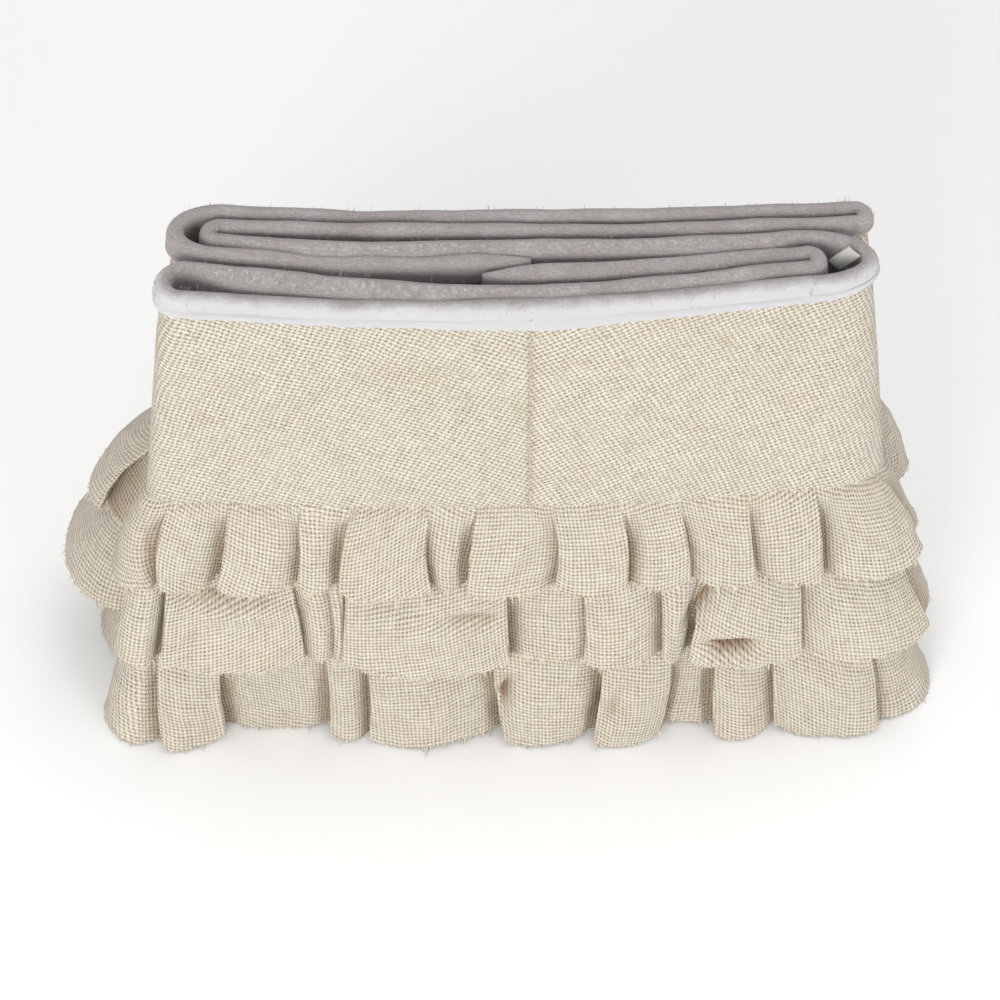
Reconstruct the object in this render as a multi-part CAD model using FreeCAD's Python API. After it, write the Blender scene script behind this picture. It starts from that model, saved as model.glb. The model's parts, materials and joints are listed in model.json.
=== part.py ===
import FreeCAD, Part

import math
import os

# A ruffled tree skirt: a shallow cone band of burlap on a felt lining, closed into a ring by a lap,
# pressed flat and folded in three, so that it stands six leaves deep on its ruffled hem.
# Millimetres. +X is to the right along the front leaf, +Y is to the back, +Z is up.
# The origin is on the floor, under the middle of the folded stack.

# Heights
HEIGHT = 285.0
CLOTH_FOOT = 3.0
BAND_DEPTH = 12.0
SEAM_HEIGHT = 157.0
TIERS = {
    1: {"top": SEAM_HEIGHT, "hem": 108.0, "deep": 12.0, "shallow": 7.4},
    2: {"top": 120.0, "hem": 58.0, "deep": 13.0, "shallow": 8.7},
    3: {"top": 70.0, "hem": 0.0, "deep": 14.0, "shallow": 10.0},
}
TURN_FOOT = 1.0

# Cloth thicknesses
FELT = 3.0
BURLAP = 1.2
LAYER_GAP = 0.15
RUFFLE_HEAD = 2.0
RUFFLE_LIFT = 5.0
STRIP = 1.1
THREAD = 0.6

# Places along the leaves, as x at the top edge and at the hem. The leaves are cut where the bends
# between the thirds start, and the bends reach the outer tips.
TURN_START = {"left": (-125.0, -151.0), "right": (120.0, 150.0)}
OUTER_TIP = {"left": (-144.0, -186.0), "right": (146.7, 186.0)}
LOOP_START = {"front": (-140.3, -183.0), "back": (144.1, 183.0)}
BETWEEN_TOP = (-75.0, 0.0, 60.0)
BETWEEN_HEM = (-93.0, 0.0, 75.0)
LAP_LEFT_END = (5.5, 7.0)
LAP_RIGHT_END = (-15.0, -19.0)

# Where each leaf stands in depth, from its left end to its right end: the middle of the rolled top
# edge, and the middle of the cloth at the hem. Leaf 1 is the front one and leaf 6 the back one.
ROLLED_EDGE = {
    1: (-22.0, -27.0, -26.6, -22.0, -13.4),
    2: (-5.0, -14.0, -18.6, -13.6, -5.5),
    4: (11.0, 6.4, 7.7, 8.7, 12.5),
    5: (19.5, 17.0, 17.0, 17.5, 21.5),
    6: (27.8, 25.5, 25.0, 26.0, 29.8),
}
ROLLED_LAP_LEFT = (2.5, -3.0, -1.0)
ROLLED_LAP_RIGHT = (-9.7, -4.9, 3.0)
HEM_LINE = {
    1: (-38.0, -40.0, -40.0, -38.5, -33.0),
    2: (-32.0, -34.0, -34.0, -32.5, -27.0),
    4: (8.5, 4.5, 5.0, 4.0, 6.0),
    5: (34.5, 33.0, 34.0, 34.0, 34.0),
    6: (40.0, 40.0, 40.0, 40.0, 40.0),
}
HEM_LAP_LEFT = (2.0, -1.7, -1.2)
HEM_LAP_RIGHT = (-8.6, -5.0, 0.0)

TURN_STEPS = 6
TURN_GAP = 0.3
TURN_LEAD = 2.0
SEAM_AT = {"front": 5.0, "back": 20.0}
RUFFLE_LAP_STOP = -18.0
LABEL_SIZE = (6.0, 0.5, 12.0)
LABEL_PLACE = (138.3, 1.5, 276.5)
LABEL_LEAN = 35.0
LABEL_TURN = -20.0

# Places across the cloth, from its middle towards the burlap side
CLOTH_HALF = (FELT + LAYER_GAP + BURLAP) / 2
FELT_IN = -CLOTH_HALF
FELT_OUT = FELT_IN + FELT
BURLAP_IN = FELT_OUT + LAYER_GAP
BURLAP_OUT = CLOTH_HALF
FLAP_IN = BURLAP_OUT + LAYER_GAP
FLAP_OUT = FLAP_IN + FELT
ROLL_MIDDLE = (FELT_IN + FLAP_OUT) / 2
ROLL_FOOT = HEIGHT - FELT


def station(top, hem, room):
    """One point of the ring's middle line: its place at the top edge, at the hem, and its ruffle room."""
    return {"top": top, "hem": hem, "room": room}


def between(first, last, share):
    """The point that lies a share of the way from one station to the next."""
    def mix(a, b):
        return tuple(p + (q - p) * share for p, q in zip(a, b))

    room = first["room"] + (last["room"] - first["room"]) * share
    return station(mix(first["top"], last["top"]), mix(first["hem"], last["hem"]), room)


def leaf(tops, hems, rolled, hem_line, side, room):
    """Stations along one leaf from left to right. side is +1 where its burlap faces the back."""
    return [
        station((tx, ty - side * ROLL_MIDDLE), (hx, hy), room)
        for tx, hx, ty, hy in zip(tops, hems, rolled, hem_line)
    ]


def full_leaf(number, left, right):
    """One of the five undivided leaves. Odd leaves show their burlap to the front."""
    side = -1 if number % 2 else 1
    room = 1.0 if number in (1, 6) else 0.0
    tops = (left[0],) + BETWEEN_TOP + (right[0],)
    hems = (left[1],) + BETWEEN_HEM + (right[1],)
    return leaf(tops, hems, ROLLED_EDGE[number], HEM_LINE[number], side, room)


def turn(start, end, tips):
    """Stations round the bend from one leaf's end to the next, as half an ellipse in plan.
    tips are the x that the bend reaches at the top edge and at the hem, or None for a round bend."""
    made = []
    sign = 1 if start["top"][0] > 0 else -1
    for step in range(1, TURN_STEPS):
        angle = math.pi * step / TURN_STEPS
        place = []
        for level, tip in zip(("top", "hem"), tips or (None, None)):
            (x, y0), y1 = start[level], end[level][1]
            reach = abs(y1 - y0) / 2 * sign if tip is None else tip - x
            across_x = x + reach * math.sin(angle)
            place.append((across_x, (y0 + y1) / 2 + (y0 - y1) / 2 * math.cos(angle)))
        room = start["room"] + (end["room"] - start["room"]) * step / TURN_STEPS
        made.append(station(place[0], place[1], room))
    return made


def past_end(end, neighbour, distance):
    """A station straight on from a leaf's end, a little further out."""
    length = abs(end["top"][0] - neighbour["top"][0])
    return between(end, neighbour, -distance / length)


def fold(leaf_out, leaf_in, tips):
    """The bend between two leaves of different thirds. It starts and ends with short straight leads,
    a hair's breadth clear of the leaves themselves."""
    out_end, out_neighbour = leaf_out[-1], leaf_out[-2]
    in_end, in_neighbour = leaf_in[0], leaf_in[1]
    start = past_end(out_end, out_neighbour, TURN_LEAD)
    end = past_end(in_end, in_neighbour, TURN_LEAD)
    first = past_end(out_end, out_neighbour, TURN_GAP)
    last = past_end(in_end, in_neighbour, TURN_GAP)
    return [first, start] + turn(start, end, tips) + [end, last]


def loop(leaf_out, leaf_in):
    """The round end of a third, where one leaf goes on into the next."""
    return turn(leaf_out[-1], leaf_in[0], None)


def across(stations, at_x):
    """The station on a leaf whose top edge is at a given x."""
    for first, last in zip(stations, stations[1:]):
        low, high = sorted((first["top"][0], last["top"][0]))
        if low <= at_x <= high:
            return between(first, last, (at_x - first["top"][0]) / (last["top"][0] - first["top"][0]))
    raise ValueError("no such place on the leaf")


def cut(stations, at_x, keep):
    """The part of a leaf's stations on one side of x, ending there. keep is 'left' or 'right'."""
    def wanted(s):
        return s["top"][0] < at_x if keep == "left" else s["top"][0] > at_x

    kept = [s for s in stations if wanted(s)]
    edge = across(stations, at_x)
    return kept + [edge] if wanted(stations[0]) else [edge] + kept


def place_at(s, height):
    """A station's x and y at one height: straight down the cloth from the top edge to the hem."""
    share = 1 - height / HEIGHT
    return tuple(p + (q - p) * share for p, q in zip(s["top"], s["hem"]))


def row(stations, height, offsets):
    """Points along the stations at one height, set off sideways towards the burlap side."""
    line = [place_at(s, height) for s in stations]
    normals = []
    for (x0, y0), (x1, y1) in zip(line, line[1:]):
        length = math.hypot(x1 - x0, y1 - y0)
        normals.append((-(y1 - y0) / length, (x1 - x0) / length))
    points = []
    for i, (x, y) in enumerate(line):
        before = normals[max(i - 1, 0)]
        after = normals[min(i, len(normals) - 1)]
        spread = 1 + before[0] * after[0] + before[1] * after[1]
        nx = (before[0] + after[0]) / spread
        ny = (before[1] + after[1]) / spread
        points.append(FreeCAD.Vector(x + nx * offsets[i], y + ny * offsets[i], height))
    return points


def ribbon(stations, low, high):
    """A solid along the stations. low and high are (height, inner offsets, outer offsets)."""
    wires = []
    for height, inner, outer in (low, high):
        loop = row(stations, height, inner) + row(stations, height, outer)[::-1]
        wires.append(Part.makePolygon(loop + loop[:1]))
    return Part.makeLoft(wires, True, True)


def sheet(stations, foot, head, inner, outer):
    """A ribbon of one even thickness."""
    count = len(stations)
    return ribbon(
        stations,
        (foot, [inner] * count, [outer] * count),
        (head, [inner] * count, [outer] * count),
    )


def burlap_panel(stations):
    return sheet(stations, CLOTH_FOOT, ROLL_FOOT - LAYER_GAP, BURLAP_IN, BURLAP_OUT)


def felt_lining(stations):
    """Felt behind the burlap, rolled over its top edge and down over its face as a band."""
    back = sheet(stations, CLOTH_FOOT, ROLL_FOOT, FELT_IN, FELT_OUT)
    roll = sheet(stations, ROLL_FOOT, HEIGHT, FELT_IN, FLAP_OUT)
    flap = sheet(stations, HEIGHT - BAND_DEPTH, ROLL_FOOT, FLAP_IN, FLAP_OUT)
    return back.fuse([roll, flap])


def ruffle(stations, tier, foot):
    """One tier's gathered strip as a wedge: thin at its seam and standing off the cloth at its hem."""
    size = TIERS[tier]
    lift = RUFFLE_LIFT if tier < len(TIERS) else LAYER_GAP
    hem = max(size["hem"], foot)
    inner = BURLAP_OUT + LAYER_GAP
    depths = [size["shallow"] + (size["deep"] - size["shallow"]) * s["room"] for s in stations]
    count = len(stations)
    return ribbon(
        stations,
        (hem, [BURLAP_OUT + lift] * count, [BURLAP_OUT + d for d in depths]),
        (size["top"], [inner] * count, [inner + RUFFLE_HEAD] * count),
    )


def closure_strip(stations, inner):
    """Half of the lap's fastening: a flat strip up the plain part of the cloth."""
    left = LAP_RIGHT_END[0] + 2
    right = LAP_LEFT_END[0] - 2
    span = [across(stations, left), across(stations, right)]
    if stations[0]["top"][0] > stations[-1]["top"][0]:
        span.reverse()
    return sheet(span, SEAM_HEIGHT + 4, HEIGHT - BAND_DEPTH - 4, inner, inner + STRIP)


def seam_thread(stations, at_x):
    """The line of stitching that holds two burlap panels edge to edge."""
    span = [across(stations, at_x - THREAD), across(stations, at_x + THREAD)]
    if stations[0]["top"][0] > stations[-1]["top"][0]:
        span.reverse()
    start = BURLAP_OUT + LAYER_GAP
    return sheet(span, SEAM_HEIGHT + 2, HEIGHT - BAND_DEPTH - 2, start, start + THREAD)


def care_label():
    """A blank woven tag that stands in the pocket of the right-hand bend."""
    width, thick, tall = LABEL_SIZE
    tag = Part.makeBox(width, thick, tall, FreeCAD.Vector(-width / 2, -thick / 2, -tall / 2))
    tag.rotate(FreeCAD.Vector(0, 0, 0), FreeCAD.Vector(0, 1, 0), LABEL_LEAN)
    tag.rotate(FreeCAD.Vector(0, 0, 0), FreeCAD.Vector(0, 0, 1), LABEL_TURN)
    tag.translate(FreeCAD.Vector(*LABEL_PLACE))
    return tag


def ring():
    """The ring's middle line, cut at the folds. Each run goes on with the burlap on its left."""
    left, right = TURN_START["left"], TURN_START["right"]
    one = full_leaf(1, LOOP_START["front"], right)[::-1]
    two = full_leaf(2, LOOP_START["front"], right)
    four = full_leaf(4, left, right)
    five = full_leaf(5, left, LOOP_START["back"])[::-1]
    six = full_leaf(6, left, LOOP_START["back"])
    left_end = leaf(
        (left[0], BETWEEN_TOP[0], LAP_LEFT_END[0]),
        (left[1], BETWEEN_HEM[0], LAP_LEFT_END[1]),
        ROLLED_LAP_LEFT, HEM_LAP_LEFT, -1, 0.0,
    )[::-1]
    right_end = leaf(
        (LAP_RIGHT_END[0], BETWEEN_TOP[2], right[0]),
        (LAP_RIGHT_END[1], BETWEEN_HEM[2], right[1]),
        ROLLED_LAP_RIGHT, HEM_LAP_RIGHT, -1, 0.0,
    )[::-1]
    front_loop, back_loop = loop(one, two), loop(six, five)
    return {
        "left_end": left_end,
        "left_outer_turn": fold(left_end, six, OUTER_TIP["left"]),
        "back": six + back_loop + five,
        "left_inner_turn": fold(five, four, None),
        "middle": four,
        "right_outer_turn": fold(four, one, OUTER_TIP["right"]),
        "front": one + front_loop + two,
        "right_inner_turn": fold(two, right_end, None),
        "right_end": right_end,
        "leaf_1": one,
        "leaf_5": five,
        "front_rest": front_loop + two,
        "back_rest": six + back_loop,
    }


def make_parts():
    """Every node of the skirt, by name."""
    runs = ring()
    names = (
        "left_end", "left_outer_turn", "back", "left_inner_turn", "middle",
        "right_outer_turn", "front", "right_inner_turn", "right_end",
    )
    parts = {}
    for name in names:
        parts["lining_" + name] = felt_lining(runs[name])
        for tier in TIERS:
            stations = runs[name]
            if name == "left_end":
                stations = cut(stations, RUFFLE_LAP_STOP, "left")
            foot = TURN_FOOT if name.endswith("turn") else 0.0
            parts["ruffle_%d_%s" % (tier, name)] = ruffle(stations, tier, foot)

    gap = LAYER_GAP / 2
    one, five = runs["leaf_1"], runs["leaf_5"]
    front_left = cut(one, SEAM_AT["front"] - gap, "left")
    back_right = cut(five, SEAM_AT["back"] + gap, "right")
    parts["panel_1_end"] = burlap_panel(runs["left_end"])
    parts["panel_1_left_turn"] = burlap_panel(runs["left_outer_turn"])
    parts["panel_1_back"] = burlap_panel(runs["back_rest"] + back_right)
    parts["panel_2_back"] = burlap_panel(cut(five, SEAM_AT["back"] - gap, "left"))
    parts["panel_2_left_turn"] = burlap_panel(runs["left_inner_turn"])
    parts["panel_2_middle"] = burlap_panel(runs["middle"])
    parts["panel_2_right_turn"] = burlap_panel(runs["right_outer_turn"])
    parts["panel_2_front"] = burlap_panel(cut(one, SEAM_AT["front"] + gap, "right"))
    parts["panel_3_front"] = burlap_panel(front_left + runs["front_rest"])
    parts["panel_3_right_turn"] = burlap_panel(runs["right_inner_turn"])
    parts["panel_3_end"] = burlap_panel(runs["right_end"])

    parts["closure_loop_strip"] = closure_strip(runs["left_end"], BURLAP_OUT + LAYER_GAP)
    parts["closure_hook_strip"] = closure_strip(runs["right_end"], FELT_IN - LAYER_GAP - STRIP)
    parts["seam_thread_front"] = seam_thread(one, SEAM_AT["front"])
    parts["seam_thread_back"] = seam_thread(five, SEAM_AT["back"])
    parts["care_label"] = care_label()
    return parts


def main():
    os.makedirs("parts", exist_ok=True)
    parts = make_parts()
    whole = FreeCAD.BoundBox()
    for name, shape in sorted(parts.items()):
        shape.exportStep("parts/%s.step" % name)
        whole.add(shape.BoundBox)
        print("%-28s valid %s  solids %d  %.1f mm3" % (name, shape.isValid(), len(shape.Solids), shape.Volume))
    print("%d nodes, %s" % (len(parts), whole))


main()
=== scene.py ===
import json
import re
from math import ceil, cos, log, pi, radians, sin

import bpy
import numpy as np
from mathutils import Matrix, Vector
from numpy.linalg import norm


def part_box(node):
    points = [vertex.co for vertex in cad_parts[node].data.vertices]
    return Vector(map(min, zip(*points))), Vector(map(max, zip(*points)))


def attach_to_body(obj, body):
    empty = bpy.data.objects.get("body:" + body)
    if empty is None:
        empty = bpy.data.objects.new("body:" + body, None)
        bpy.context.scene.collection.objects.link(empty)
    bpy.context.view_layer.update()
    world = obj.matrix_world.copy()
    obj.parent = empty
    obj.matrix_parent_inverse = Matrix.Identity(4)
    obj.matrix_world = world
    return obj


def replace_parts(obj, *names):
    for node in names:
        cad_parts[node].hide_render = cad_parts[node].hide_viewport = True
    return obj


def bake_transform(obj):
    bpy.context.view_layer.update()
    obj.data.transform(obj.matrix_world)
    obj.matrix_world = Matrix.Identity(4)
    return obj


# A ruffled tree skirt, folded in three: a cone band of burlap on a felt lining, with three tiers of
# gathered burlap. Every strip of cloth is made along the whole ring and then cut where the bends
# between the thirds begin, so that the pieces meet exactly. The ring is worked out in millimetres.

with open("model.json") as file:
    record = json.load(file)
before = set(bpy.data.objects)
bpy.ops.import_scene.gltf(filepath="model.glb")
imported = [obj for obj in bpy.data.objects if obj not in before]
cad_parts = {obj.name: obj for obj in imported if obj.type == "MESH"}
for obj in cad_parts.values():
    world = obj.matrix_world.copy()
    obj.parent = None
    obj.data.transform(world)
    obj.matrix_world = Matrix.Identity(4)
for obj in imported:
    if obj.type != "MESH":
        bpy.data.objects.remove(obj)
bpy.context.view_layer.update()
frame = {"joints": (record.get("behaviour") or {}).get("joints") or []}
MM = 0.001


def span_of(node):
    """A CAD node's lowest and highest z, in millimetres."""
    low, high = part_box(node)
    return low.z / MM, high.z / MM


# Heights, from the frame. Each tier also has how far its pleats stand off where there is much and
# little room, how far its strip starts off the cloth, and how its laps are stepped.
CLOTH_FOOT, HEIGHT = span_of("lining_front")
PANEL_TOP = span_of("panel_3_front")[1]
TIERS = {}
for tier, *depths in ((1, 12.5, 7.4, 4.4, 1.4), (2, 14, 8.7, 4.6, 1.6), (3, 15, 10, 1.2, 1.8)):
    TIERS[tier] = (*span_of("ruffle_%d_front" % tier), *depths)
SEAM_HEIGHT = TIERS[1][1]
BAND_DEPTH = 15.0
# From how far the cloth gets thinner towards its two lapped ends
LAP_TAPER = 26.0
# Loose fibres on the roll: one for this much length, on these rows of its section
LINT_EVERY = 2.2
LINT_ROWS = (8, 24)
# Where the felt is puffed up inwards near the top: run, from and to as shares of it, how far
PLUMP = (("middle", 0.0, 1.0, 3.2), ("right_end", 0.0, 1.0, 1.6), ("left_end", 0.0, 1.0, 0.8),
         ("front", 0.515, 0.74, 3.4), ("front", 0.53, 0.98, 2.6))

# Places across the cloth, from its middle towards the burlap side
FELT_IN, FELT_OUT = -2.175, 0.825
BURLAP_IN, BURLAP_OUT = 0.975, 2.175
FLAP_IN, FLAP_OUT = 2.325, 5.325
ROLL_MIDDLE = (FELT_IN + FLAP_OUT) / 2

# The ring's line, leaf by leaf: x at the top edge and the hem, then y of both at these x
TURN_START = {"left": (-125, -151), "right": (120, 150)}
OUTER_TIP = {"left": (-144, -186), "right": (146.7, 186)}
LOOP_START = {"front": (-140.3, -183), "back": (144.1, 183)}
BETWEEN_TOP = (-75, 0, 60)
BETWEEN_HEM = (-93, 0, 75)
LAP_LEFT_END = (5.5, 7)
LAP_RIGHT_END = (-15, -19)
ROLLED_EDGE = {
    1: (-22, -27, -26.6, -22, -13.4),
    2: (-5, -14, -18.6, -13.6, -5.5),
    4: (11, 6.4, 7.7, 8.7, 12.5),
    5: (19.5, 17, 17, 17.5, 21.5),
    6: (27.8, 25.5, 25, 26, 29.8),
}
HEM_LINE = {
    1: (-38, -40, -40, -38.5, -33),
    2: (-32, -34, -34, -32.5, -27),
    4: (8.5, 4.5, 5, 4, 6),
    5: (34.5, 33, 34, 34, 34),
    6: (40, 40, 40, 40, 40),
}
ROLLED_LAP = {"left": (2.5, -3, -1), "right": (-9.7, -4.9, 3)}
HEM_LAP = {"left": (2, -1.7, -1.2), "right": (-8.6, -5, 0)}
SEAM_AT = {"front": 5, "back": 20}
RUFFLE_LAP_STOP = -18
# How far the three tiers flare out at each bend, beyond their usual depth
FLARE = {
    "left_outer_turn": (20, 34, 15),
    "right_outer_turn": (8, 13, 11),
    "front": (9.5, 4, 10),
    "back": (4, 5, 4),
    "left_inner_turn": (-1.5, -1.5, -1.5),
    "right_inner_turn": (-1.5, -1.5, -1.5),
}
FLARE_SPREAD = 12
# A bend starts this far past its leaf, and has this many stations. The whole line has a column of
# points for about each COLUMN.
TURN_LEAD = 2
TURN_STEPS = 14
COLUMN = 3
# How far the weave turns round the whole band, in radians
CONE_ANGLE = 3.0


# -------- the ring's line

def leaf(tops, hems, rolled, hem_line, side, room):
    """Stations along a leaf: top x, top y, hem x, hem y, ruffle room."""
    rows = zip(tops, hems, rolled, hem_line)
    return [np.array([tx, ty - side * ROLL_MIDDLE, hx, hy, room]) for tx, hx, ty, hy in rows]


def full_leaf(number, left, right):
    side = -1 if number % 2 else 1
    room = 1.0 if number in (1, 6) else 0.0
    tops = (left[0],) + BETWEEN_TOP + (right[0],)
    hems = (left[1],) + BETWEEN_HEM + (right[1],)
    return leaf(tops, hems, ROLLED_EDGE[number], HEM_LINE[number], side, room)


def turn(start, end, tips):
    """Stations round a bend, as half an ellipse in plan."""
    made = []
    sign = 1 if start[0] > 0 else -1
    for step in range(1, TURN_STEPS):
        angle = pi * step / TURN_STEPS
        s = np.zeros(5)
        for k, tip in ((0, tips and tips[0]), (2, tips and tips[1])):
            x, y0, y1 = start[k], start[k + 1], end[k + 1]
            reach = abs(y1 - y0) / 2 * sign if tip is None else tip - x
            s[k] = x + reach * sin(angle)
            s[k + 1] = (y0 + y1) / 2 + (y0 - y1) / 2 * cos(angle)
        s[4] = start[4] + (end[4] - start[4]) * step / TURN_STEPS
        made.append(s)
    return made


def past_end(end, neighbour, distance):
    return end + (end - neighbour) * distance / abs(end[0] - neighbour[0])


def fold(leaf_out, leaf_in, tips):
    start = past_end(leaf_out[-1], leaf_out[-2], TURN_LEAD)
    end = past_end(leaf_in[0], leaf_in[1], TURN_LEAD)
    return [start] + turn(start, end, tips) + [end]


def ring_runs():
    """The ring cut at the folds. Each run goes on with the burlap on its left."""
    left, right = TURN_START["left"], TURN_START["right"]
    one = full_leaf(1, LOOP_START["front"], right)[::-1]
    two = full_leaf(2, LOOP_START["front"], right)
    four = full_leaf(4, left, right)
    five = full_leaf(5, left, LOOP_START["back"])[::-1]
    six = full_leaf(6, left, LOOP_START["back"])
    left_end = leaf((left[0], BETWEEN_TOP[0], LAP_LEFT_END[0]),
                    (left[1], BETWEEN_HEM[0], LAP_LEFT_END[1]),
                    ROLLED_LAP["left"], HEM_LAP["left"], -1, 0.0)[::-1]
    right_end = leaf((LAP_RIGHT_END[0], BETWEEN_TOP[2], right[0]),
                     (LAP_RIGHT_END[1], BETWEEN_HEM[2], right[1]),
                     ROLLED_LAP["right"], HEM_LAP["right"], -1, 0.0)[::-1]
    return [
        ("left_end", left_end),
        ("left_outer_turn", fold(left_end, six, OUTER_TIP["left"])),
        ("back", six + turn(six[-1], five[0], None) + five),
        ("left_inner_turn", fold(five, four, None)),
        ("middle", four),
        ("right_outer_turn", fold(four, one, OUTER_TIP["right"])),
        ("front", one + turn(one[-1], two[0], None) + two),
        ("right_inner_turn", fold(two, right_end, None)),
        ("right_end", right_end),
    ]


def line_lengths(points):
    """The length walked along a line of points, up to each of them."""
    return np.concatenate([[0], np.cumsum(norm(np.diff(points, axis=0), axis=1))])


def smooth_line(control, spacing):
    """A centripetal Catmull-Rom line through the stations, and where each station is in it."""
    control = np.array(control)
    ends = np.vstack([2 * control[0] - control[1], control, 2 * control[-1] - control[-2]])
    mid = (ends[:, 0:2] + ends[:, 2:4]) / 2
    steps = norm(np.diff(mid, axis=0), axis=1)
    t = np.concatenate([[0], np.cumsum(np.sqrt(steps))])
    line, marks = [], [0]
    for i in range(1, len(ends) - 2):
        p, k = ends[i - 1:i + 3], t[i - 1:i + 3]
        count = max(2, int(ceil(steps[i] / spacing)))
        q = np.linspace(k[1], k[2], count, endpoint=False)[:, None]

        def part(a, b, first, last):
            return ((k[last] - q) * a + (q - k[first]) * b) / (k[last] - k[first])

        a1, a2, a3 = (part(p[n], p[n + 1], n, n + 1) for n in range(3))
        line.append(part(part(a1, a2, 0, 2), part(a2, a3, 1, 3), 1, 2))
        marks.append(marks[-1] + count)
    line.append(control[-1:])
    return np.vstack(line), marks


class Ring:
    """The cloth's middle line round the whole ring, as a function of the length along it."""

    def __init__(self):
        control, first_of, last_of = [], {}, {}
        for name, stations in ring_runs():
            turns = name.endswith("turn")
            first_of[name] = len(control) - turns
            control += stations
            last_of[name] = len(control) - 1 + turns
        self.names = list(first_of)
        self.dense, marks = smooth_line(control, COLUMN)
        self.u = line_lengths((self.dense[:, 0:2] + self.dense[:, 2:4]) / 2)
        self.cut = {name: (marks[first_of[name]], marks[last_of[name]]) for name in self.names}
        self.bends = {name: cut for name, cut in self.cut.items() if name.endswith("turn")}
        for name in ("front", "back"):
            at = first_of[name] + len(BETWEEN_TOP) + 1
            self.bends[name] = (marks[at], marks[at + TURN_STEPS])
        i, j = self.cut["right_outer_turn"]
        k, m = self.cut["front"]
        self.front_face = (i + int(np.argmax(self.dense[i:j, 0])),
                           k + int(np.argmin(self.dense[k:m, 0])))
        self.normals = []
        for k in (0, 2):
            d = np.gradient(self.dense[:, k:k + 2], axis=0)
            d /= norm(d, axis=1)[:, None]
            self.normals.append(np.stack([-d[:, 1], d[:, 0]], axis=1))

    def at(self, u, z, offset):
        """Points for arrays of length along the ring, height, and distance to the burlap side."""
        u, z, offset = np.broadcast_arrays(u, z, offset)
        share = 1 - z / HEIGHT

        def look(values):
            return np.interp(u, self.u, values)

        x, y = (look(self.dense[:, k]) * (1 - share) + look(self.dense[:, k + 2]) * share
                for k in (0, 1))
        top, hem = self.normals
        nx, ny = (look(top[:, k]) * (1 - share) + look(hem[:, k]) * share for k in (0, 1))
        size = np.sqrt(nx * nx + ny * ny)
        return np.stack([x + nx / size * offset, y + ny / size * offset, z], axis=-1)

    def room(self, u):
        return np.interp(u, self.u, self.dense[:, 4])

    def find(self, run, x, z=None, leaf_part="first"):
        """The length along the ring where a run reaches x, at its first or last crossing."""
        share = 0.0 if z is None else 1 - z / HEIGHT
        xs = self.dense[:, 0] * (1 - share) + self.dense[:, 2] * share
        i, j = self.cut[run]
        if z is not None:
            i, j = self.front_face
            x = min(max(x, xs[j] + 1.0), xs[i] - 1.0)
        hits = i + np.nonzero((xs[i:j] - x) * (xs[i + 1:j + 1] - x) <= 0)[0]
        h = hits[-1] if leaf_part == "last" else hits[0]
        return self.u[h] + (self.u[h + 1] - self.u[h]) * (x - xs[h]) / (xs[h + 1] - xs[h])

    def flare(self, u, tier):
        """How much further than usual a ruffle stands off the cloth where the ring bends."""
        total = 0.0 * u
        for name, (i, j) in self.bends.items():
            first, last = self.u[i] - FLARE_SPREAD, self.u[j] + FLARE_SPREAD
            share = np.clip((u - first) / (last - first), 0, 1)
            total = total + FLARE[name][tier - 1] * np.sin(pi * share) ** 1.5
        return total


ring = Ring()
BODY = {name: "middle_third" for name in ring.names}
BODY["front"], BODY["back"] = "front_third", "back_third"


# -------- small tools

class Waves:
    """Smooth repeatable noise: a few sine waves over two coordinates, about -1 to 1."""

    def __init__(self, rng, longest, shortest, count=9):
        lengths = np.exp(rng.uniform(log(shortest), log(longest), count))
        angles = rng.uniform(0, 2 * pi, count)
        self.kx = 2 * pi / lengths * np.cos(angles)
        self.ky = 2 * pi / lengths * np.sin(angles)
        self.phase = rng.uniform(0, 2 * pi, count)
        self.size = lengths / lengths.sum() * 1.6

    def __call__(self, x, y):
        total = 0.0
        for kx, ky, phase, size in zip(self.kx, self.ky, self.phase, self.size):
            total = total + size * np.sin(kx * x + ky * y + phase)
        return total


def ease(t):
    t = np.clip(t, 0, 1)
    return t * t * (3 - 2 * t)


def grid_normals(points):
    """Unit normals of a grid of points (rows, columns, 3). They point along column x row steps."""
    across = np.gradient(points, axis=1)
    down = np.gradient(points, axis=0)
    n = np.cross(across, down)
    return n / np.maximum(norm(n, axis=2), 1e-9)[:, :, None]


def grid_faces(index):
    """The quads of a grid of vertex numbers."""
    a, b, c, d = index[:-1, :-1], index[:-1, 1:], index[1:, 1:], index[1:, :-1]
    return np.stack([a, b, c, d], axis=-1).reshape(-1, 4)


def flat_uv(across, along):
    return np.stack(np.broadcast_arrays(across, along), axis=-1)


def place(name, data):
    obj = bpy.data.objects.new(name, data)
    bpy.context.scene.collection.objects.link(obj)
    return obj


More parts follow.
